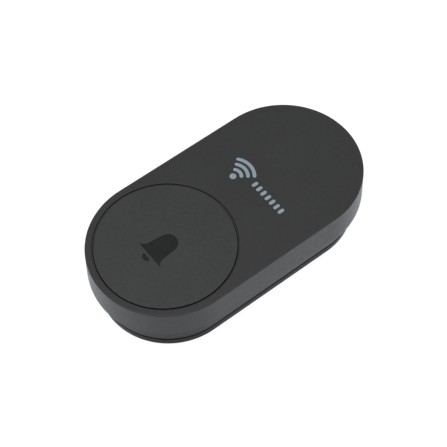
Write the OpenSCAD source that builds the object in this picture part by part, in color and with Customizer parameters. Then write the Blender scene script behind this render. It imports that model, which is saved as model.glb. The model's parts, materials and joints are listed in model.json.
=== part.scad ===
// Wireless doorbell push button: a pill-shaped transmitter on a wall plate.
// Millimetres. The wall plate's back lies on z = 0 and +Z points out of the front.
// The long axis is Y: the round button is at the -Y end, the printed end at +Y.

/* [Body] */
// Length of the housing from end to end
body_length = 84; // [83:0.2:96]
// Width of the housing at its widest line
body_width = 44; // [44:0.2:46]
// Height from the wall to the face of the button
body_height = 18.9; // [18.9:0.1:22]
// Angle by which the side leans in above its widest line
lean_angle = 1.7; // [0:0.1:3]
// Angle by which the side tucks under below its widest line
tuck_angle = 20.5; // [18:0.5:21]
// Radius of the edge around the front
front_edge_r = 0.3; // [0.2:0.05:0.8]
// Thickness of the side wall
wall = 1.8; // [1.6:0.1:1.9]

/* [Button] */
// Diameter of the round button
button_d = 38.2; // [37.8:0.1:38.4]
// Running gap between the button and its bore
button_gap = 0.2; // [0.15:0.01:0.25]
// Width of the shadow groove round the button
groove_w = 0.58; // [0.4:0.02:0.7]
// Depth of the shadow groove
groove_depth = 0.4; // [0.2:0.05:0.5]
// Distance from the button's centre to its end of the housing
button_to_end = 21.55; // [21.2:0.05:22]
// How far the button goes in
button_travel = 0.6; // [0.4:0.1:0.8]
// Depth of the bell icon's face below the face of the button
icon_recess = 0.15; // [0.05:0.05:0.4]

/* [Wall plate] */
// Height of the wall plate
plate_height = 2.2; // [2:0.1:2.2]
// How far the plate's edge stands in from the widest line of the housing
plate_inset = 2.3; // [2.2:0.1:3]
// Distance between the centres of the two wall screw holes
screw_spacing = 40; // [38:1:42]
// Diameter of each wall screw hole
screw_hole_d = 4.2; // [3:0.1:4.5]
// How far the unit slides before its hooks let go
slide_travel = 4; // [3:0.5:4]

/* [Battery] */
// Diameter of the coin cell
cell_d = 20; // [19.6:0.1:20]
// Thickness of the coin cell
cell_h = 3.2; // [3:0.1:3.2]
// Turn that frees the battery door, in degrees
door_turn = 30; // [30:1:40]

/* [Hidden] */
$fn = 96;

// Pill outline: two half rounds whose centres lie on Y
half_w = body_width / 2;
end_y = body_length / 2 - half_w;

// Levels of the moulded parts, from the wall outwards
plate_floor = 1.5;
slide_gap = 0.35;
shell_z0 = plate_height + slide_gap;
case_recess = 0.75;
case_z0 = shell_z0 + case_recess;
case_z1 = case_z0 + 1.8;
case_rim_z1 = case_z1 + 1.9;
lip_z1 = case_z0 + 1.6;
button_proud = 0.05;
shell_z1 = body_height - button_proud;
face_t = 2;
roof_z = shell_z1 - face_t;

// Side of the housing: it tucks in to a foot below a rounded knee, and leans in to the front above
knee_r = 6;
knee_z = 10;
foot_r = 0.3;
foot_w = half_w - knee_r * (1 - cos(tuck_angle))
    - (knee_z - knee_r * sin(tuck_angle) - shell_z0) * tan(tuck_angle);
face_w = half_w - knee_r * (1 - cos(lean_angle))
    - (shell_z1 - knee_z - knee_r * sin(lean_angle)) * tan(lean_angle);

// Half widths of the nested pill outlines
case_w = foot_w - 1.6;
lip_w = case_w + 0.2;
bay_w = half_w - wall;
bay_foot_w = lip_w + 0.7;
plate_w = half_w - plate_inset;
case_rim_t = 1.2;
plate_rim_t = 1.6;
plate_edge_r = 0.4;

// Battery, its door and the board above it
cell_y = 8;
cell_z0 = case_z1 + 0.1;
cell_z1 = cell_z0 + cell_h;
holder_z0 = case_z1 + 1.05;
holder_r0 = cell_d / 2 + 0.25;
holder_r1 = 12.6;
board_z0 = cell_z1 + 1;
board_t = 1.6;
board_z1 = board_z0 + board_t;
door_flange_r = 12.2;
door_flange_t = 0.7;
door_neck_r = 11;
door_ledge_z = case_z1 - 0.5;
lug_r = 12.4;
lug_z0 = case_z1 + 0.15;
lug_t = 0.7;
lug_angle = 24;
lug_count = 3;
door_gap = 0.3;
seal_r = 0.28;

// Button well: a bore down to a shelf that springs and gasket stand on
button_y = button_to_end - body_length / 2;
button_r = button_d / 2;
bore_r = button_r + button_gap;
groove_r = button_r + groove_w;
groove_edge_r = 0.12;
shelf_z0 = board_z1 + 1;
shelf_z1 = shelf_z0 + 1.4;
shelf_hole_r = 11;
cap_z0 = body_height - 2;
cap_edge_r = 0.12;
skirt_t = 1.2;
skirt_z0 = shelf_z1 + button_travel + 0.5;
rib_depth = 1.4;
rib_t = 1;
post_r = 2.2;

// Clip legs under the button and the springs between them
leg_angles = [30, 150, 270];
leg_r = 16.2;
leg_t = 1.2;
leg_w = 5;
leg_gap = 0.3;
leg_hook = 1;
leg_hook_h = 0.8;
leg_hook_z1 = shelf_z0 - 0.15;
spring_angles = [90, 210, 330];
spring_ring_r = 15.8;
spring_coil_r = 1.75;
spring_wire_r = 0.22;
spring_turns = 4;
peg_r = 1.1;
peg_h = 1.2;

// Tactile switch under the centre of the button
switch_w = 6;
switch_base_h = 2.3;
switch_cover_t = 0.2;
switch_well_r = 2.3;
dome_z0 = board_z1 + 1.2;
dome_h = 0.55;
dome_t = 0.08;
dome_r = 2.2;
plunger_r = 1.6;
plunger_flange_r = 2;
plunger_z0 = dome_z0 + dome_h + 0.02;
plunger_top = board_z1 + 3;
plunger_travel = 0.25;
post_z0 = plunger_top + button_travel - plunger_travel + 0.02;

// Bell icon
bell_dome_r = 2.8;
bell_dome_y = 0.75;
bell_waist_w = 3.2;
bell_waist_y = -3;
bell_lip_y = -5.15;
bell_lip_w = 4.85;
bell_flare_r = 2.1;
clapper_r = 1.3;
clapper_y = -5.95;
icon_t = 0.85;

// Hooks of the wall plate and the blind pockets that they run in
hook_ys = [-31.4, 30];
hook_w = 9;
hook_stem = 2;
hook_lip = 3;
hook_lip_t = 1.2;
hook_gap = 0.25;
hook_lip_z0 = case_z1 + hook_gap;
pocket_gap = 0.4;
pocket_z1 = hook_lip_z0 + hook_lip_t + hook_gap;
pocket_wall = 1;

// Foam tape pads on the back of the wall plate
pad_size = [30, 12];
pad_t = 0.8;
pad_y = 8.5;
pad_corner_r = 2;

// Screws
screw_gap = 0.25;
case_screw_xy = [[-9, -30.4], [9, -30.4], [-12.4, 26.2], [12.4, 26.2]];
case_boss_r = 2.6;
case_screw_r = 0.95;
case_pilot_r = 1;
case_head_r = 2;
case_head_h = 1.1;
case_screw_length = 6;
board_screw_xy = [[-11, 19], [11, 19]];
board_boss_r = 2.2;
board_screw_r = 0.75;
board_pilot_r = 0.8;
board_head_r = 1.6;
board_head_h = 1;
board_screw_length = 5;

// Small parts on the board
lead_pitch = 1.27;
led_x = 5.2;
led_size = [1.6, 0.8, 0.7];
passive_size = [1, 0.5, 0.45];
antenna_y = 19;
antenna_coil_r = 2.2;
antenna_wire_r = 0.3;
antenna_turns = 8;
antenna_length = 13;

// ---------- Shared shapes ----------

// Sweeps a half section, drawn right of the axis, round the pill outline.
module around_pill() {
    for (turn = [0, 180])
        rotate(turn)
            translate([0, end_y, 0])
                rotate_extrude(angle = 180) children();
    rotate([90, 0, 0])
        linear_extrude(2 * end_y, center = true) {
            children();
            mirror([1, 0]) children();
        }
}

// Half section of a solid slab
module slab_section(w, z0, z1) {
    translate([0, z0]) square([w, z1 - z0]);
}

// Upright pill of half width w between two levels
module pill(w, z0, z1) {
    translate([0, 0, z0])
        linear_extrude(z1 - z0) {
            square([2 * w, 2 * end_y], center = true);
            for (y = [-end_y, end_y])
                translate([0, y]) circle(w);
        }
}

// Quarter of a disc; turn 0 fills the upper right quarter
module quarter_disc(r, turn) {
    intersection() {
        circle(r);
        rotate(turn) square(r + 1);
    }
}

module at_button() {
    translate([0, button_y, 0]) children();
}

module at_cell() {
    translate([0, cell_y, 0]) children();
}

// Upright cylinder between two levels
module drum(r, z0, z1) {
    translate([0, 0, z0]) cylinder(r = r, h = z1 - z0);
}

// Round tube between two levels
module tube(r0, r1, z0, z1) {
    difference() {
        drum(r1, z0, z1);
        drum(r0, z0 - 1, z1 + 1);
    }
}

// Sector of a tube, centred on the +X axis
module tube_sector(r0, r1, z0, z1, angle) {
    rotate(-angle / 2)
        rotate_extrude(angle = angle) translate([r0, z0]) square([r1 - r0, z1 - z0]);
}

// Upright block with rounded corners, centred on the axis
module rounded_block(size, r, z0, z1) {
    translate([0, 0, z0])
        linear_extrude(z1 - z0) {
            square([size[0] - 2 * r, size[1]], center = true);
            square([size[0], size[1] - 2 * r], center = true);
            for (x = [-1, 1], y = [-1, 1])
                translate([x * (size[0] / 2 - r), y * (size[1] / 2 - r)]) circle(r);
        }
}

// Upright block centred in X and Y
module block(size, z0) {
    translate([-size[0] / 2, -size[1] / 2, z0]) cube(size);
}

// Round wire wound up the Z axis from z = 0, as one closed tube
module coil(coil_r, wire_r, length, turns) {
    sides = 8;
    steps = 14 * turns;
    rise = length - 2 * wire_r;
    points = [
        for (i = [0:steps], j = [0:sides - 1])
            let (
                a = 360 * turns * i / steps,
                b = 360 * j / sides,
                r = coil_r + wire_r * cos(b)
            )
            [r * cos(a), r * sin(a), wire_r + rise * i / steps + wire_r * sin(b)]
    ];
    sides_of_tube = [
        for (i = [0:steps - 1], j = [0:sides - 1])
            let (k = (j + 1) % sides, a = i * sides, b = a + sides)
            [a + j, a + k, b + k, b + j]
    ];
    start_cap = [[for (j = [sides - 1:-1:0]) j]];
    end_cap = [[for (j = [0:sides - 1]) steps * sides + j]];
    polyhedron(points, concat(sides_of_tube, start_cap, end_cap));
}

// Pan head screw driven upwards, with a cross recess in its head
module screw(head_r, head_h, shank_r, length) {
    recess_l = 1.3 * head_r;
    recess_w = 0.4;
    recess_depth = 0.6 * head_h;
    difference() {
        union() {
            cylinder(r = head_r, h = head_h);
            cylinder(r = shank_r, h = head_h + length);
        }
        for (turn = [0, 90])
            rotate(turn) block([recess_l, recess_w, recess_depth + 1], -1);
    }
}

// Flat chip with a row of leads down each long side
module chip(size, leads, pitch) {
    standoff = 0.1;
    lead_size = [0.4, 1, 0.7];
    lead_y = size[1] / 2 + 0.4;
    block(size, board_z1 + standoff);
    for (side = [-1, 1], i = [0:leads - 1])
        translate([(i - (leads - 1) / 2) * pitch, side * lead_y, 0])
            block(lead_size, board_z1);
}

// Bell seen from the front, drawn about the centre of the button
module bell_outline() {
    translate([0, bell_dome_y]) circle(bell_dome_r);
    polygon([
        [-bell_waist_w, bell_waist_y], [bell_waist_w, bell_waist_y],
        [bell_dome_r, bell_dome_y], [-bell_dome_r, bell_dome_y]
    ]);
    difference() {
        translate([-bell_lip_w, bell_lip_y]) square([2 * bell_lip_w, bell_waist_y - bell_lip_y]);
        for (side = [-1, 1])
            translate([side * (bell_waist_w + bell_flare_r), bell_waist_y]) circle(bell_flare_r);
    }
    translate([0, clapper_y])
        intersection() {
            circle(clapper_r);
            translate([-clapper_r, -clapper_r]) square([2 * clapper_r, clapper_r]);
        }
}

// ---------- Wall plate ----------

// Tray with a rounded upper edge
module plate_section() {
    r = plate_edge_r;
    slab_section(plate_w, 0, plate_height - r);
    slab_section(plate_w - r, 0, plate_height);
    translate([plate_w - r, plate_height - r]) quarter_disc(r, 0);
}

// Stem with a lip towards +Y, drawn as a side view and given its width
module plate_hook() {
    rotate([90, 0, 90])
        linear_extrude(hook_w, center = true)
            polygon([
                [0, plate_floor - 0.5], [hook_stem, plate_floor - 0.5],
                [hook_stem, hook_lip_z0], [hook_stem + hook_lip, hook_lip_z0],
                [hook_stem + hook_lip, hook_lip_z0 + hook_lip_t], [0, hook_lip_z0 + hook_lip_t]
            ]);
}

module wall_plate() {
    color([0.17, 0.17, 0.18])
    difference() {
        union() {
            difference() {
                around_pill() plate_section();
                pill(plate_w - plate_rim_t, plate_floor, plate_height + 1);
            }
            for (y = hook_ys)
                translate([0, y, 0]) plate_hook();
        }
        for (y = [-1, 1] * screw_spacing / 2)
            translate([0, y, 0]) drum(screw_hole_d / 2, -1, plate_floor + 1);
        for (y = [-pad_y, pad_y])
            translate([0, y, 0]) rounded_block(pad_size, pad_corner_r, -1, pad_t);
        for (y = hook_ys)
            translate([0, y + hook_stem + hook_lip / 2 + 0.2, 0])
                block([hook_w + 0.6, hook_lip + 0.4, plate_floor + 2], -1);
    }
}

module adhesive_pads() {
    color([0.90, 0.90, 0.88])
    for (y = [-pad_y, pad_y])
        translate([0, y, 0]) rounded_block(pad_size, pad_corner_r, 0, pad_t);
}

// ---------- Rear case ----------

module pocket_block() {
    y0 = -slide_travel - pocket_gap - pocket_wall;
    y1 = hook_stem + hook_lip + pocket_gap + pocket_wall;
    w = hook_w + 2 * (pocket_gap + pocket_wall);
    translate([-w / 2, y0, case_z0]) cube([w, y1 - y0, pocket_z1 + pocket_wall - case_z0]);
}

// Slot in the floor that lets the lip in, and the room above it that the lip slides in
module pocket_space() {
    y0 = -slide_travel - pocket_gap;
    w = hook_w + 2 * pocket_gap;
    slot_y1 = hook_stem + pocket_gap;
    room_y1 = hook_stem + hook_lip + pocket_gap;
    translate([-w / 2, y0, case_z0 - 1]) cube([w, slot_y1 - y0, pocket_z1 - case_z0 + 1]);
    translate([-w / 2, y0, case_z1]) cube([w, room_y1 - y0, pocket_z1 - case_z1]);
}

module door_opening() {
    drum(door_flange_r + door_gap, case_z0 - 1, door_ledge_z);
    drum(door_neck_r + door_gap, case_z0 - 1, case_z1 + 1);
    for (i = [0:lug_count - 1])
        rotate(i * 360 / lug_count + door_turn)
            tube_sector(door_neck_r, lug_r + door_gap, door_ledge_z - 0.2, case_z1 + 1, lug_angle + 6);
}

module rear_case() {
    board_post_xy = 4;
    board_post_r = 1.4;
    color([0.20, 0.20, 0.21])
    difference() {
        union() {
            difference() {
                pill(case_w, case_z0, case_rim_z1);
                pill(case_w - case_rim_t, case_z1, case_rim_z1 + 1);
            }
            for (y = hook_ys)
                translate([0, y, 0]) pocket_block();
            for (x = [-1, 1] * board_post_xy, y = [-1, 1] * board_post_xy)
                at_button() translate([x, y, 0]) drum(board_post_r, case_z0, board_z0);
        }
        for (y = hook_ys)
            translate([0, y, 0]) pocket_space();
        at_cell() door_opening();
        for (p = case_screw_xy)
            translate([p[0], p[1], 0]) {
                drum(case_screw_r + screw_gap, case_z0 - 1, case_z1 + 1);
                drum(case_head_r + screw_gap, case_z0 - 1, case_z0 + case_head_h + 0.1);
            }
    }
}

// Rubber cord between the case rim and the housing wall
module case_gasket() {
    cord_r = (bay_foot_w - case_w) / 2 - 0.04;
    color([0.12, 0.12, 0.12])
    around_pill() translate([(case_w + bay_foot_w) / 2, lip_z1 + cord_r]) circle(cord_r);
}

module case_screws() {
    color([0.75, 0.75, 0.76])
    for (p = case_screw_xy)
        translate([p[0], p[1], case_z0 + 0.1])
            screw(case_head_r, case_head_h, case_screw_r, case_screw_length);
}

// ---------- Battery ----------

module battery_door() {
    slot = [14, 1.8, 0.9];
    color([0.20, 0.20, 0.21])
    at_cell()
    difference() {
        union() {
            drum(door_flange_r, case_z0, case_z0 + door_flange_t);
            drum(door_neck_r, case_z0, case_z1);
            tube(holder_r0, door_neck_r, case_z1 - 0.5, lug_z0 + lug_t);
            for (i = [0:lug_count - 1])
                rotate(i * 360 / lug_count)
                    tube_sector(holder_r0 + 0.3, lug_r, lug_z0, lug_z0 + lug_t, lug_angle);
        }
        block(slot, case_z0 - 0.01);
    }
}

// Ring squeezed between the door's flange and the ledge of the case
module battery_door_seal() {
    color([0.55, 0.12, 0.10])
    at_cell()
    translate([0, 0, case_z0 + door_flange_t + seal_r])
        rotate_extrude() translate([door_neck_r + seal_r + 0.02, 0]) circle(seal_r);
}

module coin_cell_can() {
    color([0.80, 0.80, 0.80])
    at_cell()
    difference() {
        drum(cell_d / 2, cell_z0, cell_z1 - 0.2);
        drum(cell_d / 2 - 0.3, cell_z0 + 0.3, cell_z1);
    }
}

module coin_cell_gasket() {
    color([0.35, 0.35, 0.36])
    at_cell() tube(cell_d / 2 - 0.9, cell_d / 2 - 0.3, cell_z0 + 0.3, cell_z1 - 0.15);
}

module coin_cell_cap() {
    color([0.72, 0.72, 0.73])
    at_cell() drum(cell_d / 2 - 0.9, cell_z0 + 0.3, cell_z1);
}

// Ring under the board that centres the cell, open where the contact reaches its side
module cell_holder() {
    color([0.10, 0.10, 0.11])
    at_cell()
    difference() {
        tube(holder_r0, holder_r1, holder_z0, board_z0);
        translate([0, holder_r1 - 1, 0]) block([4.8, 4, board_z0], 0);
    }
}

// Strip that touches the side of the can, with a foot soldered to the board
module positive_contact() {
    strip_t = 0.3;
    strip_w = 4;
    color([0.85, 0.78, 0.55])
    at_cell()
    translate([-strip_w / 2, cell_d / 2, 0]) {
        translate([0, 0, holder_z0]) cube([strip_w, strip_t, board_z0 - holder_z0]);
        translate([0, 0, board_z0 - strip_t]) cube([strip_w, 2.4, strip_t]);
    }
}

// Leaf that springs from the board onto the cell's cap, drawn as a side view
module negative_contact() {
    leaf_t = 0.2;
    touch_z = cell_z1 + 0.02;
    color([0.85, 0.78, 0.55])
    at_cell()
    rotate([90, 0, 90])
        linear_extrude(4, center = true)
            polygon([
                [-5, board_z0], [-5, board_z0 - leaf_t], [-1, board_z0 - leaf_t],
                [3, touch_z], [5, touch_z], [5, touch_z + leaf_t],
                [3.1, touch_z + leaf_t], [-0.9, board_z0]
            ]);
}

// ---------- Circuit board ----------

module circuit_board() {
    main_size = [28, 30.5];
    main_y = 7.25;
    tongue_size = [15, 24];
    tongue_y = -15.5;
    color([0.08, 0.30, 0.16])
    difference() {
        union() {
            translate([0, main_y, 0]) rounded_block(main_size, 3, board_z0, board_z1);
            translate([0, tongue_y, 0]) rounded_block(tongue_size, 3, board_z0, board_z1);
        }
        for (p = board_screw_xy)
            translate([p[0], p[1], 0]) drum(board_screw_r + screw_gap, board_z0 - 1, board_z1 + 1);
    }
}

module board_screws() {
    color([0.75, 0.75, 0.76])
    for (p = board_screw_xy)
        translate([p[0], p[1], board_z0 - board_head_h])
            screw(board_head_r, board_head_h, board_screw_r, board_screw_length);
}

module transmitter_chip() {
    color([0.09, 0.09, 0.10])
    translate([7, 10, 0]) chip([4.9, 3.9, 1.4], 4, lead_pitch);
}

module encoder_chip() {
    color([0.09, 0.09, 0.10])
    translate([-6.5, 9, 0]) chip([8.6, 3.9, 1.4], 7, lead_pitch);
}

module crystal() {
    can_size = [11, 4.4];
    can_h = 3.4;
    can_corner_r = 2;
    color([0.78, 0.78, 0.78])
    translate([3, 4, 0]) rounded_block(can_size, can_corner_r, board_z1, board_z1 + can_h);
}

module chip_passives() {
    spots = [
        [-11, 3], [-9, 3], [-7, 3], [11.5, 4], [11.5, 6], [-11, 14],
        [-5, 14], [1, 11], [1, 9], [12, 12], [-3, -4], [3, -4], [0, -7]
    ];
    color([0.62, 0.52, 0.40])
    for (p = spots)
        translate([p[0], p[1], 0]) block(passive_size, board_z1);
}

// Wire wound about an axis along X, with a leg to the board at each end
module antenna_coil() {
    axis_z = board_z1 + antenna_coil_r + antenna_wire_r + 0.4;
    leg_x = antenna_length / 2 - antenna_wire_r;
    color([0.80, 0.48, 0.28])
    translate([0, antenna_y, 0]) {
        translate([-antenna_length / 2, 0, axis_z])
            rotate([0, 90, 0])
                coil(antenna_coil_r, antenna_wire_r, antenna_length, antenna_turns);
        for (x = [-leg_x, leg_x])
            translate([x, 0, 0]) drum(antenna_wire_r, board_z1, axis_z - antenna_coil_r);
    }
}

module indicator_leds() {
    color([0.95, 0.95, 0.90])
    at_button()
    for (x = [-led_x, led_x])
        translate([x, 0, 0]) block(led_size, board_z1);
}

// ---------- Tactile switch ----------

module switch_base() {
    color([0.10, 0.10, 0.10])
    at_button()
    difference() {
        block([switch_w, switch_w, switch_base_h], board_z1);
        drum(switch_well_r, dome_z0, board_z1 + switch_base_h + 1);
    }
}

module switch_terminals() {
    tag_size = [1, 0.7, 0.3];
    tag_x = (switch_w + tag_size[0]) / 2;
    tag_y = 2.2;
    color([0.80, 0.80, 0.78])
    at_button()
    for (x = [-tag_x, tag_x], y = [-tag_y, tag_y])
        translate([x, y, 0]) block(tag_size, board_z1);
}

// Snap dome: a thin spherical cap that stands on its rim
module switch_dome() {
    sphere_r = (dome_r * dome_r + dome_h * dome_h) / (2 * dome_h);
    color([0.85, 0.85, 0.84])
    at_button()
    translate([0, 0, dome_z0])
        rotate_extrude()
            intersection() {
                translate([0, dome_h - sphere_r])
                    difference() {
                        circle(sphere_r);
                        circle(sphere_r - dome_t);
                    }
                square([dome_r + 1, dome_h + 1]);
            }
}

module switch_cover() {
    cover_z0 = board_z1 + switch_base_h;
    color([0.80, 0.80, 0.80])
    at_button()
    difference() {
        block([switch_w, switch_w, switch_cover_t], cover_z0);
        drum(plunger_r + 0.15, cover_z0 - 1, cover_z0 + 1);
    }
}

module switch_plunger() {
    color([0.14, 0.14, 0.14])
    at_button() {
        drum(plunger_flange_r, plunger_z0, board_z1 + switch_base_h - 0.05);
        drum(plunger_r, plunger_z0, plunger_top);
    }
}

// ---------- Front housing ----------

// Outer half section: foot, tucked side, knee, leaning side and a small front edge
module housing_section() {
    tuck = [cos(tuck_angle), -sin(tuck_angle)];
    lean = [cos(lean_angle), sin(lean_angle)];
    foot = [foot_w - foot_r * (1 - sin(tuck_angle)) / cos(tuck_angle), shell_z0 + foot_r];
    knee = [half_w - knee_r, knee_z];
    edge = [face_w - front_edge_r * (1 - sin(lean_angle)) / cos(lean_angle), shell_z1 - front_edge_r];
    polygon([
        [0, shell_z0], [foot[0], shell_z0], foot + foot_r * tuck, knee + knee_r * tuck,
        knee + knee_r * lean, edge + front_edge_r * lean, [edge[0], shell_z1], [0, shell_z1]
    ]);
    translate(foot) circle(foot_r);
    translate(knee) circle(knee_r);
    translate(edge) circle(front_edge_r);
}

// Room for the board, entered through the lip that holds the rear case
module bay() {
    pill(lip_w, shell_z0 - 1, lip_z1 + 0.1);
    around_pill()
        polygon([
            [0, lip_z1], [bay_foot_w, lip_z1], [bay_w, knee_z - 1],
            [bay_w, roof_z], [0, roof_z]
        ]);
}

// Solid collar that the button's bore is cut into
module well_block() {
    intersection() {
        pill(half_w - wall / 2, shelf_z0, roof_z + 0.5);
        at_button() drum(bore_r + wall, shelf_z0 - 1, roof_z + 1);
    }
}

// Bore, the shadow groove round its mouth, the hole in its shelf and the slots for the clip legs
module well_space() {
    slot_size = [leg_t + 2 * leg_gap, leg_w + 2 * leg_gap, shelf_z1 - shelf_z0 + 2];
    e = groove_edge_r;
    drum(bore_r, shelf_z1, shell_z1 + 1);
    drum(groove_r, shell_z1 - groove_depth, shell_z1 + 1);
    rotate_extrude()
        difference() {
            translate([groove_r - e, shell_z1 - e]) square([2 * e, 2 * e]);
            translate([groove_r + e, shell_z1 - e]) circle(e);
        }
    drum(shelf_hole_r, shelf_z0 - 1, shelf_z1 + 1);
    for (a = leg_angles)
        rotate(a)
            translate([leg_r + leg_t / 2, 0, 0]) block(slot_size, shelf_z0 - 1);
}

module front_housing() {
    color([0.20, 0.20, 0.205])
    difference() {
        union() {
            difference() {
                around_pill() housing_section();
                bay();
            }
            well_block();
            for (p = case_screw_xy)
                translate([p[0], p[1], 0])
                    drum(case_boss_r, case_z1, (p[1] < 0 ? shelf_z0 : roof_z) + 0.5);
            for (p = board_screw_xy)
                translate([p[0], p[1], 0]) drum(board_boss_r, board_z1, roof_z + 0.5);
        }
        at_button()
        difference() {
            well_space();
            // Pegs stay standing on the shelf, one in the foot of each spring.
            for (a = spring_angles)
                rotate(a)
                    translate([spring_ring_r, 0, 0]) drum(peg_r, shelf_z1 - 1, shelf_z1 + peg_h);
        }
        for (p = case_screw_xy)
            translate([p[0], p[1], 0]) drum(case_pilot_r, case_z1 - 1, case_z0 + case_screw_length + 2);
        for (p = board_screw_xy)
            translate([p[0], p[1], 0])
                drum(board_pilot_r, board_z1 - 1, board_z0 + board_screw_length + 0.5);
    }
}

// ---------- Button ----------

// Leg with an outward hook that catches under the shelf, drawn as a side view
module clip_leg() {
    r1 = leg_r + leg_t;
    z0 = leg_hook_z1 - leg_hook_h;
    rotate([90, 0, 0])
        linear_extrude(leg_w, center = true)
            polygon([
                [leg_r, z0], [r1, z0], [r1 + leg_hook, leg_hook_z1 - 0.3],
                [r1 + leg_hook, leg_hook_z1], [r1, leg_hook_z1],
                [r1, cap_z0 + 0.5], [leg_r, cap_z0 + 0.5]
            ]);
}

module button_cap() {
    e = cap_edge_r;
    color([0.225, 0.225, 0.23])
    at_button()
    difference() {
        union() {
            rotate_extrude() {
                slab_section(button_r, cap_z0, body_height - e);
                slab_section(button_r - e, cap_z0, body_height);
                translate([button_r - e, body_height - e]) quarter_disc(e, 0);
            }
            tube(button_r - skirt_t, button_r, skirt_z0, cap_z0 + 0.5);
            drum(post_r, post_z0, cap_z0 + 0.5);
            for (a = leg_angles)
                rotate(a) clip_leg();
            for (a = [0:60:300])
                rotate(a)
                    translate([post_r - 0.5, -rib_t / 2, cap_z0 - rib_depth])
                        cube([button_r - skirt_t - post_r + 1, rib_t, rib_depth + 0.5]);
        }
        translate([0, 0, body_height - icon_recess - icon_t])
            linear_extrude(2) bell_outline();
    }
}

module icon_window() {
    color([0.16, 0.175, 0.18])
    at_button()
    translate([0, 0, body_height - icon_recess - icon_t])
        linear_extrude(icon_t) bell_outline();
}

// Foam ring that the skirt squeezes
module button_gasket() {
    color([0.10, 0.10, 0.10])
    at_button() tube(button_r - skirt_t + 0.1, button_r - 0.1, shelf_z1, skirt_z0 - 0.02);
}

module return_springs() {
    color([0.78, 0.78, 0.78])
    at_button()
    for (a = spring_angles)
        rotate(a)
            translate([spring_ring_r, 0, shelf_z1])
                coil(spring_coil_r, spring_wire_r, cap_z0 - shelf_z1 - 0.02, spring_turns);
}

wall_plate();
adhesive_pads();
rear_case();
case_gasket();
case_screws();
battery_door();
battery_door_seal();
coin_cell_can();
coin_cell_gasket();
coin_cell_cap();
cell_holder();
positive_contact();
negative_contact();
circuit_board();
board_screws();
transmitter_chip();
encoder_chip();
crystal();
chip_passives();
antenna_coil();
indicator_leds();
switch_base();
switch_terminals();
switch_dome();
switch_cover();
switch_plunger();
front_housing();
button_cap();
icon_window();
button_gasket();
return_springs();
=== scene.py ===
"""Wireless doorbell push button: finishes, printed mark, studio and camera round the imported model."""
import json
import math

import bmesh
import bpy
from mathutils import Matrix, Vector

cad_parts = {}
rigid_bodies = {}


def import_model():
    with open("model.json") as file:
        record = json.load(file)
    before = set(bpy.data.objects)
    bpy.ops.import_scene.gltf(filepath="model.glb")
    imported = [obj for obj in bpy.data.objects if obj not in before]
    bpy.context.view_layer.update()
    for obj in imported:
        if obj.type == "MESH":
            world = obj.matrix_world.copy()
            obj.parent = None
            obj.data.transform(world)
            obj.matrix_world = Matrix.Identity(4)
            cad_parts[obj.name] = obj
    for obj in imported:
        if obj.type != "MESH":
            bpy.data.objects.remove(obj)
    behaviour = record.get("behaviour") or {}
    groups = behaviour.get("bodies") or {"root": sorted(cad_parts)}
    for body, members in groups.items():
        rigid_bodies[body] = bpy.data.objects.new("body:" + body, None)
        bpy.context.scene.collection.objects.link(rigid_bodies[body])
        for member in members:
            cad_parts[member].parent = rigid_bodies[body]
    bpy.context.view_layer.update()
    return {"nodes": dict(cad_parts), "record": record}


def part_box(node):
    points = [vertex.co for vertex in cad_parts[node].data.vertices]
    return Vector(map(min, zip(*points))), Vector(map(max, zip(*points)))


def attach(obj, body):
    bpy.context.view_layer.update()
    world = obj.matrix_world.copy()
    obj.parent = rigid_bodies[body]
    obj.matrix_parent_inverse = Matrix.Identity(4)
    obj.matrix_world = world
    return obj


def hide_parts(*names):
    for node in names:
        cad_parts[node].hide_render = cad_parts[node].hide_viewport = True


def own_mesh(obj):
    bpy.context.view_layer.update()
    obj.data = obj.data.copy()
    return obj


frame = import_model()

MM = 0.001

# Height of the housing's face, on which the mark is printed
face_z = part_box("front_housing")[1].z


# ---------- Camera ----------

def add_camera():
    """Looks down on the button end from the front right, as a product picture does."""
    azimuth, elevation, roll = math.radians(53.46), math.radians(57.26), math.radians(1.50)
    distance = 0.3584
    aim_right, aim_up = -0.96 * MM, 5.19 * MM
    back = Vector((
        math.sin(azimuth) * math.cos(elevation),
        -math.cos(azimuth) * math.cos(elevation),
        math.sin(elevation),
    ))
    right = Vector((math.cos(azimuth), math.sin(azimuth), 0))
    up = back.cross(right)
    data = bpy.data.cameras.new("camera")
    data.sensor_width = 36
    data.lens = 102.6
    data.clip_start, data.clip_end = 0.01, 20
    camera = bpy.data.objects.new("camera", data)
    bpy.context.collection.objects.link(camera)
    camera_right = right * math.cos(roll) - up * math.sin(roll)
    camera_up = right * math.sin(roll) + up * math.cos(roll)
    turn = Matrix((camera_right, camera_up, back)).transposed()
    place = back * distance + right * aim_right + up * aim_up
    camera.matrix_world = Matrix.Translation(place) @ turn.to_4x4()
    bpy.context.scene.camera = camera


# ---------- Nodes and materials ----------

def map_range(nodes, links, value, start, end, low, high):
    """value mapped from start..end to low..high, and held at the ends."""
    node = nodes.new("ShaderNodeMapRange")
    node.inputs["From Min"].default_value = start
    node.inputs["From Max"].default_value = end
    node.inputs["To Min"].default_value = low
    node.inputs["To Max"].default_value = high
    links.new(value, node.inputs["Value"])
    return node.outputs["Result"]


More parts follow.
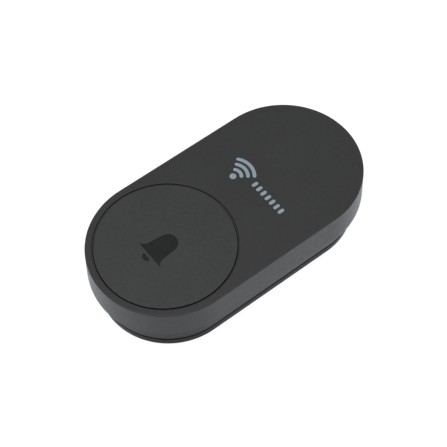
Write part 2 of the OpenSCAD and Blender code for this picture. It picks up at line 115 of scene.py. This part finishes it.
class Finish:
    """A Principled material with short helpers for its procedural nodes."""

    def __init__(self, name):
        self.material = bpy.data.materials.new(name)
        self.material.use_nodes = True
        self.nodes = self.material.node_tree.nodes
        self.links = self.material.node_tree.links
        self.shader = self.nodes["Principled BSDF"]
        self.place = self.nodes.new("ShaderNodeTexCoord").outputs["Object"]

    def set(self, **sockets):
        """Constants on the shader's own sockets, with _ for each space in a socket's name."""
        for name, value in sockets.items():
            self.shader.inputs[name.replace("_", " ")].default_value = value

    def noise(self, size, detail=2.0, roughness=0.5, stretch=None):
        """Noise whose features are about size metres across."""
        node = self.nodes.new("ShaderNodeTexNoise")
        node.inputs["Scale"].default_value = 1 / size
        node.inputs["Detail"].default_value = detail
        node.inputs["Roughness"].default_value = roughness
        self.links.new(self.stretched(stretch), node.inputs["Vector"])
        return node.outputs["Fac"]

    def cells(self, size):
        """Distance to the middle of cells about size metres across."""
        node = self.nodes.new("ShaderNodeTexVoronoi")
        node.inputs["Scale"].default_value = 1 / size
        self.links.new(self.place, node.inputs["Vector"])
        return node.outputs["Distance"]

    def stretched(self, factors):
        """Object coordinates scaled by the factors, so that noise gets longer where a factor is small."""
        if factors is None:
            return self.place
        node = self.nodes.new("ShaderNodeMapping")
        node.inputs["Scale"].default_value = factors
        self.links.new(self.place, node.inputs["Vector"])
        return node.outputs["Vector"]

    def span(self, value, low, high, start=0.0, end=1.0):
        """value mapped from start..end to low..high."""
        return map_range(self.nodes, self.links, value, start, end, low, high)

    def math(self, operation, a, b):
        """Result of a Math node on two outputs or numbers."""
        node = self.nodes.new("ShaderNodeMath")
        node.operation = operation
        for socket, value in zip(node.inputs, (a, b)):
            if isinstance(value, (int, float)):
                socket.default_value = value
            else:
                self.links.new(value, socket)
        return node.outputs["Value"]

    def mix(self, factor, a, b):
        """Colour a where factor is 0, b where it is 1."""
        node = self.nodes.new("ShaderNodeMix")
        node.data_type = "RGBA"
        self.links.new(factor, node.inputs["Factor"])
        # An RGBA mix keeps its two colours in inputs 6 and 7 and its result in output 2
        for socket, value in ((node.inputs[6], a), (node.inputs[7], b)):
            if isinstance(value, tuple):
                socket.default_value = (*value, 1)
            else:
                self.links.new(value, socket)
        return node.outputs[2]

    def edge(self, low, high):
        """1 where the normal's Z is between low and high, as on a rounded rim, else 0."""
        fade_in, fade_out = 0.15, 0.04
        geometry = self.nodes.new("ShaderNodeNewGeometry")
        split = self.nodes.new("ShaderNodeSeparateXYZ")
        self.links.new(geometry.outputs["Normal"], split.inputs["Vector"])
        rising = self.span(split.outputs["Z"], 0, 1, low, low + fade_in)
        falling = self.span(split.outputs["Z"], 1, 0, high - fade_out, high)
        return self.math("MULTIPLY", rising, falling)

    def bump(self, *layers):
        """Bumps from (height output, depth in metres) pairs, stacked."""
        normal = None
        for height, depth in layers:
            node = self.nodes.new("ShaderNodeBump")
            node.inputs["Distance"].default_value = depth
            self.links.new(height, node.inputs["Height"])
            if normal:
                self.links.new(normal, node.inputs["Normal"])
            normal = node.outputs["Normal"]
        self.links.new(normal, self.shader.inputs["Normal"])

    def colour(self, output):
        self.links.new(output, self.shader.inputs["Base Color"])

    def roughness(self, output):
        self.links.new(output, self.shader.inputs["Roughness"])


def scaled(colour, factor):
    """Colour made darker or lighter by a factor."""
    return tuple(channel * factor for channel in colour)


def textured_plastic(name, colour, rough, grain=0.16 * MM, depth=0.010 * MM, level=0.5):
    """Plastic with the fine pitted texture of a spark-eroded mould, and a painted highlight that makes
    sloped rounded rims paler.
    """
    f = Finish(name)
    pits = f.cells(grain)
    grit = f.noise(grain * 0.6, detail=3, roughness=0.6)
    flow = f.noise(14 * MM, detail=2)
    mottle = f.noise(0.9 * MM, detail=3, roughness=0.6)
    tone = f.math("ADD", f.span(flow, -0.5, 0.5), f.span(mottle, -0.35, 0.35, 0.3, 0.7))
    shade = f.mix(f.span(tone, 0, 1, -0.5, 0.5), scaled(colour, 0.72), scaled(colour, 1.28))
    speck = f.mix(f.span(grit, 0, 0.35, 0.62, 0.75), shade, scaled(colour, 1.35))
    # Painted highlight: a paler colour wherever the normal slopes, as on rounded rims, standing in for
    # light catching the rims
    painted_rim_highlight = f.span(f.edge(0.15, 0.96), 0, 0.5)
    f.colour(f.mix(painted_rim_highlight, speck, scaled(colour, 1.5)))
    f.roughness(f.span(f.math("ADD", grit, mottle), rough - 0.09, rough + 0.09, 0.7, 1.3))
    f.bump((f.span(pits, 0, 1, 0.1, 0.75), depth), (grit, depth * 0.7))
    f.set(Specular_IOR_Level=level)
    return f.material


def moulded_plastic(name, colour, rough, level=0.5):
    """Plain moulded plastic with a satin face and faint flow marks."""
    f = Finish(name)
    flow = f.noise(6 * MM, detail=2, stretch=(1, 0.35, 1))
    fine = f.noise(0.25 * MM, detail=3)
    f.colour(f.mix(f.span(flow, 0, 1, 0.3, 0.7), scaled(colour, 0.9), scaled(colour, 1.12)))
    f.roughness(f.span(fine, rough - 0.06, rough + 0.06, 0.3, 0.7))
    f.bump((fine, 0.004 * MM), (flow, 0.01 * MM))
    f.set(Specular_IOR_Level=level)
    return f.material


def gloss_plastic(name, colour, rough):
    """Smooth polished plastic with a slight orange peel."""
    f = Finish(name)
    peel = f.noise(1.1 * MM, detail=1)
    haze = f.noise(5 * MM, detail=3)
    f.colour(f.mix(f.span(haze, 0, 1, 0.3, 0.7), scaled(colour, 0.9), scaled(colour, 1.15)))
    f.roughness(f.span(haze, rough - 0.03, rough + 0.05, 0.3, 0.7))
    f.bump((peel, 0.003 * MM))
    f.set(Specular_IOR_Level=0.3)
    return f.material


def soft_rubber(name, colour, rough=0.7):
    """Rubber or silicone with a dusty bloom."""
    f = Finish(name)
    bloom = f.noise(2.5 * MM, detail=4, roughness=0.6)
    fine = f.noise(0.12 * MM, detail=2)
    dusty = tuple(0.8 * channel + 0.03 for channel in colour)
    f.colour(f.mix(f.span(bloom, 0, 0.6, 0.45, 0.75), colour, dusty))
    f.roughness(f.span(bloom, rough - 0.05, rough + 0.1, 0.3, 0.7))
    f.bump((fine, 0.006 * MM))
    f.set(Specular_IOR_Level=0.35)
    return f.material


def foam(name, colour):
    """Closed-cell foam: small round pores and soft hollows."""
    f = Finish(name)
    pores = f.cells(0.35 * MM)
    hollows = f.noise(3 * MM, detail=3)
    grime = f.noise(8 * MM, detail=4)
    shade = f.mix(f.span(pores, 0, 1, 0.1, 0.45), scaled(colour, 0.78), colour)
    f.colour(f.mix(f.span(grime, 0, 0.35, 0.45, 0.8), shade, scaled(colour, 0.82)))
    f.roughness(f.span(hollows, 0.82, 0.95))
    f.bump((f.span(pores, 0, 1, 0, 0.5), 0.05 * MM), (hollows, 0.06 * MM))
    return f.material


def metal(name, colour, rough, brush=None):
    """Metal with fine lines, stretched by the brush factors, and with tarnish and uneven roughness."""
    f = Finish(name)
    lines = f.noise(0.05 * MM, detail=4, stretch=brush)
    tarnish = f.noise(2.2 * MM, detail=4, roughness=0.6)
    f.colour(f.mix(f.span(tarnish, 0, 1, 0.35, 0.75), colour, scaled(colour, 0.72)))
    f.roughness(f.span(f.math("ADD", lines, tarnish), rough - 0.08, rough + 0.14, 0.7, 1.3))
    f.bump((lines, 0.002 * MM))
    f.set(Metallic=1.0)
    return f.material


def solder_mask(name, colour, copper):
    """Green lacquer over copper tracks that show through as lighter lanes."""
    f = Finish(name)
    wave = f.nodes.new("ShaderNodeTexWave")
    wave.wave_type = "BANDS"
    wave.bands_direction = "DIAGONAL"
    wave.inputs["Scale"].default_value = 1 / (6 * MM)
    wave.inputs["Distortion"].default_value = 6
    wave.inputs["Detail"].default_value = 1
    f.links.new(f.place, wave.inputs["Vector"])
    lanes = f.span(wave.outputs["Fac"], 0, 1, 0.55, 0.62)
    weave = f.noise(0.4 * MM, detail=2)
    ground = f.mix(f.span(weave, 0, 1, 0.3, 0.7), scaled(colour, 0.85), scaled(colour, 1.1))
    f.colour(f.mix(f.span(lanes, 0, 0.45), ground, copper))
    f.roughness(f.span(weave, 0.28, 0.4, 0.3, 0.7))
    f.bump((lanes, 0.02 * MM), (weave, 0.004 * MM))
    f.set(Coat_Weight=0.4, Coat_Roughness=0.2)
    return f.material


def clear_resin(name, colour):
    """Clear cast resin, slightly cloudy, over a bright core."""
    f = Finish(name)
    cloud = f.noise(0.3 * MM, detail=3)
    f.colour(f.mix(f.span(cloud, 0, 1, 0.3, 0.7), scaled(colour, 0.85), colour))
    f.roughness(f.span(cloud, 0.1, 0.22))
    f.bump((cloud, 0.002 * MM))
    f.set(Transmission_Weight=0.35, IOR=1.5)
    return f.material


def ink(name, colour):
    """Pad-printed ink: a thin matt film, a little uneven, with pinholes."""
    f = Finish(name)
    film = f.noise(0.5 * MM, detail=4, roughness=0.65)
    pinholes = f.noise(0.14 * MM, detail=2)
    shade = f.mix(f.span(film, 0, 1, 0.3, 0.7), scaled(colour, 0.88), scaled(colour, 1.08))
    f.colour(f.mix(f.span(pinholes, 0, 0.6, 0.66, 0.74), shade, scaled(colour, 0.35)))
    f.roughness(f.span(film, 0.5, 0.62, 0.3, 0.7))
    f.bump((film, 0.003 * MM))
    return f.material


def make_finishes():
    """One material for each of the record's slots."""
    along = (1, 0.04, 1)  # lines that run along Y
    return {
        "housing_plastic": textured_plastic("spark_black", (0.0095, 0.0101, 0.0099), 0.42),
        "button_plastic": textured_plastic("spark_black_button", (0.0160, 0.0171, 0.0167), 0.38),
        "icon_plastic": gloss_plastic("smoked_gloss", (0.004, 0.0055, 0.006), 0.24),
        "plate_plastic": moulded_plastic("plate_black", (0.014, 0.0145, 0.015), 0.46, level=0.14),
        "case_plastic": moulded_plastic("case_black", (0.024, 0.024, 0.025), 0.50),
        "holder_plastic": moulded_plastic("holder_black", (0.018, 0.018, 0.019), 0.42),
        "foam_tape": foam("foam_white", (0.70, 0.70, 0.67)),
        "black_rubber": soft_rubber("rubber_black", (0.016, 0.016, 0.017)),
        "red_rubber": soft_rubber("silicone_red", (0.36, 0.035, 0.025), 0.5),
        "screw_steel": metal("zinc_steel", (0.62, 0.62, 0.64), 0.32),
        "cell_steel": metal("nickel_steel", (0.74, 0.74, 0.73), 0.26, along),
        "cell_seal": moulded_plastic("grommet_grey", (0.18, 0.18, 0.19), 0.4),
        "contact_bronze": metal("gilt_bronze", (0.80, 0.62, 0.30), 0.24, along),
        "board_laminate": solder_mask("solder_mask", (0.012, 0.10, 0.035), (0.10, 0.30, 0.08)),
        "chip_resin": moulded_plastic("chip_epoxy", (0.022, 0.022, 0.024), 0.6),
        "bright_steel": metal("bright_steel", (0.70, 0.70, 0.71), 0.28, along),
        "ceramic": moulded_plastic("fired_ceramic", (0.42, 0.33, 0.22), 0.55),
        "copper_wire": metal("copper_wire", (0.86, 0.42, 0.26), 0.3),
        "led_resin": clear_resin("led_resin", (0.88, 0.87, 0.80)),
        "spring_steel": metal("spring_steel", (0.58, 0.58, 0.60), 0.3),
    }


def finish_cad_nodes(finishes):
    """Gives each CAD node the material of its slot."""
    for part in frame["record"]["subparts"]:
        node = frame["nodes"][part["node"]]
        for material_slot in node.material_slots:
            material_slot.material = finishes[part["material_slot"]]


# ---------- Copies of deforming nodes ----------------------

def add_piece(name, mesh, material, body):
    """New piece with one material, which moves with a body."""
    piece = bpy.data.objects.new(name, mesh)
    bpy.context.collection.objects.link(piece)
    mesh.materials.clear()
    mesh.materials.append(material)
    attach(piece, body)
    return piece


def add_squashed_pieces(finishes):
    """Stands in for each deforming CAD node with a copy of its mesh, which moves with the joint's parent
    body.
    """
    slots = {part["node"]: part["material_slot"] for part in frame["record"]["subparts"]}
    for joint in frame["record"]["behaviour"]["joints"]:
        for row in joint.get("deforming_nodes", []):
            node = row["node"]
            mesh = frame["nodes"][node].data.copy()
            piece = add_piece(node + "_flexing", mesh, finishes[slots[node]], joint["parent"])
            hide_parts(node)
            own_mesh(piece)


# ---------- Printed mark ----------

def print_film(outlines, thickness):
    """One mesh of thin flat prisms standing on the housing's face, from closed outlines."""
    bm = bmesh.new()
    for outline in outlines:
        lower = [bm.verts.new((x, y, face_z)) for x, y in outline]
        upper = [bm.verts.new((x, y, face_z + thickness)) for x, y in outline]
        bm.faces.new(upper)
        bm.faces.new(lower[::-1])
        for i, corner in enumerate(lower):
            j = (i + 1) % len(lower)
            bm.faces.new((corner, lower[j], upper[j], upper[i]))
    mesh = bpy.data.meshes.new("mark")
    bm.to_mesh(mesh)
    bm.free()
    return mesh


def arc(centre, radius, start, end, steps):
    """Points on an arc, angles in degrees."""
    points = []
    for i in range(steps + 1):
        angle = math.radians(start + (end - start) * i / steps)
        points.append((centre[0] + radius * math.cos(angle), centre[1] + radius * math.sin(angle)))
    return points


def band(centre, inner, outer, start, end):
    """Arched band with round ends."""
    middle, half = (inner + outer) / 2, (outer - inner) / 2
    first, last = arc(centre, middle, start, end, 1)
    return (
        arc(centre, outer, start, end, 24)
        + arc(last, half, end, end + 180, 8)[1:-1]
        + arc(centre, inner, end, start, 24)
        + arc(first, half, start + 180, start + 360, 8)[1:-1]
    )


def bar(centre, width, height):
    """Upright bar with round ends."""
    r, reach = width / 2, (height - width) / 2
    return (
        arc((centre[0], centre[1] + reach), r, 0, 180, 12)
        + arc((centre[0], centre[1] - reach), r, 180, 360, 12)
    )


def add_mark(material):
    """Generic mark where the maker's would be: a radio-wave sign and a row of plain bars."""
    # Dot and waves, with the dot's centre and the first wave's radius
    dot, dot_r = (-6.3 * MM, 7.1 * MM), 0.95 * MM
    wave_count, wave_r, wave_pitch, wave_w = 3, 2.3 * MM, 1.8 * MM, 1.0 * MM
    wave_start, wave_end = 52, 128
    # Row of bars, from the first bar's centre
    bar_count, bar_x, bar_y, bar_pitch = 7, -0.45 * MM, 10.15 * MM, 1.85 * MM
    bar_w, bar_h = 1.0 * MM, 2.0 * MM
    film = 0.02 * MM

    outlines = [arc(dot, dot_r, 0, 360, 32)[:-1]]
    for i in range(wave_count):
        middle = wave_r + i * wave_pitch
        outlines.append(band(dot, middle - wave_w / 2, middle + wave_w / 2, wave_start, wave_end))
    for i in range(bar_count):
        outlines.append(bar((bar_x + i * bar_pitch, bar_y), bar_w, bar_h))
    piece = add_piece("printed_mark", print_film(outlines, film), material, "unit")


# ---------- Studio ----------

def add_floor():
    """White floor that glows a little. Only the camera sees it, and the world lights the object."""
    half = 3.0
    mesh = bpy.data.meshes.new("floor")
    corners = [(-half, -half, 0), (half, -half, 0), (half, half, 0), (-half, half, 0)]
    mesh.from_pydata(corners, [], [(0, 1, 2, 3)])
    floor = bpy.data.objects.new("floor", mesh)
    bpy.context.collection.objects.link(floor)
    f = Finish("paper_white")
    fibre = f.noise(1.5 * MM, detail=3)
    f.colour(f.mix(fibre, (0.19, 0.19, 0.19), (0.21, 0.21, 0.21)))
    f.roughness(f.span(fibre, 0.85, 0.95))
    f.set(Specular_IOR_Level=0.1, Emission_Color=(1, 1, 1, 1), Emission_Strength=0.9)
    mesh.materials.append(f.material)
    floor.visible_diffuse = floor.visible_glossy = floor.visible_shadow = False


def add_light(name, azimuth, elevation, distance, size, power):
    """Round softbox aimed at the middle of the object, azimuth counted from +X towards +Y."""
    data = bpy.data.lights.new(name, "AREA")
    data.shape = "DISK"
    data.size = size
    data.energy = power
    light = bpy.data.objects.new(name, data)
    bpy.context.collection.objects.link(light)
    turn, lift = math.radians(azimuth), math.radians(elevation)
    away = Vector((math.cos(turn) * math.cos(lift), math.sin(turn) * math.cos(lift), math.sin(lift)))
    light.location = away * distance
    light.rotation_mode = "QUATERNION"
    light.rotation_quaternion = away.to_track_quat("Z", "Y")


def add_world():
    """A white room, darker behind the camera and straight below, where a table is in the object's shade."""
    world = bpy.data.worlds.new("white_room")
    bpy.context.scene.world = world
    world.use_nodes = True
    nodes, links = world.node_tree.nodes, world.node_tree.links
    direction = nodes.new("ShaderNodeTexCoord").outputs["Generated"]
    split = nodes.new("ShaderNodeSeparateXYZ")
    links.new(direction, split.inputs["Vector"])
    ramp = nodes.new("ShaderNodeValToRGB")
    links.new(map_range(nodes, links, split.outputs["Z"], -1, 1, 0, 1), ramp.inputs["Fac"])
    # Brightness from straight below (0) over the horizon (0.5) to straight above (1)
    levels = (
        (0.02, (0.25, 0.25, 0.25)),
        (0.08, (1.22, 1.25, 1.31)),
        (0.48, (1.22, 1.25, 1.31)),
        (0.55, (1.05, 1.05, 1.05)),
        (0.88, (0.49, 0.50, 0.50)),
        (0.97, (0.85, 0.85, 0.85)),
    )
    stops = ramp.color_ramp.elements
    while len(stops) < len(levels):
        stops.new(0.5)
    for stop, (place, colour) in zip(stops, levels):
        stop.position = place
        stop.color = (*colour, 1)
    links.new(ramp.outputs["Color"], nodes["Background"].inputs["Color"])
    # The dark patch: how near a direction is to the patch's middle sets the strength
    patch_middle, patch_edge, patch_core, patch_strength = (0.75, -0.56, 0.34), 0.78, 0.93, 0.3
    nearness = nodes.new("ShaderNodeVectorMath")
    nearness.operation = "DOT_PRODUCT"
    nearness.inputs[1].default_value = patch_middle
    links.new(direction, nearness.inputs[0])
    strength = map_range(nodes, links, nearness.outputs["Value"], patch_edge, patch_core, 1, patch_strength)
    links.new(strength, nodes["Background"].inputs["Strength"])


def add_studio():
    """Floor, room and one weak softbox, without a film-like tone curve."""
    add_floor()
    add_world()
    add_light("overhead", azimuth=-60, elevation=78, distance=1.3, size=1.4, power=8)
    bpy.context.scene.view_settings.view_transform = "Standard"


add_camera()
finishes = make_finishes()
finish_cad_nodes(finishes)
add_squashed_pieces(finishes)
add_mark(ink("mark_ink", (0.24, 0.29, 0.34)))
add_studio()
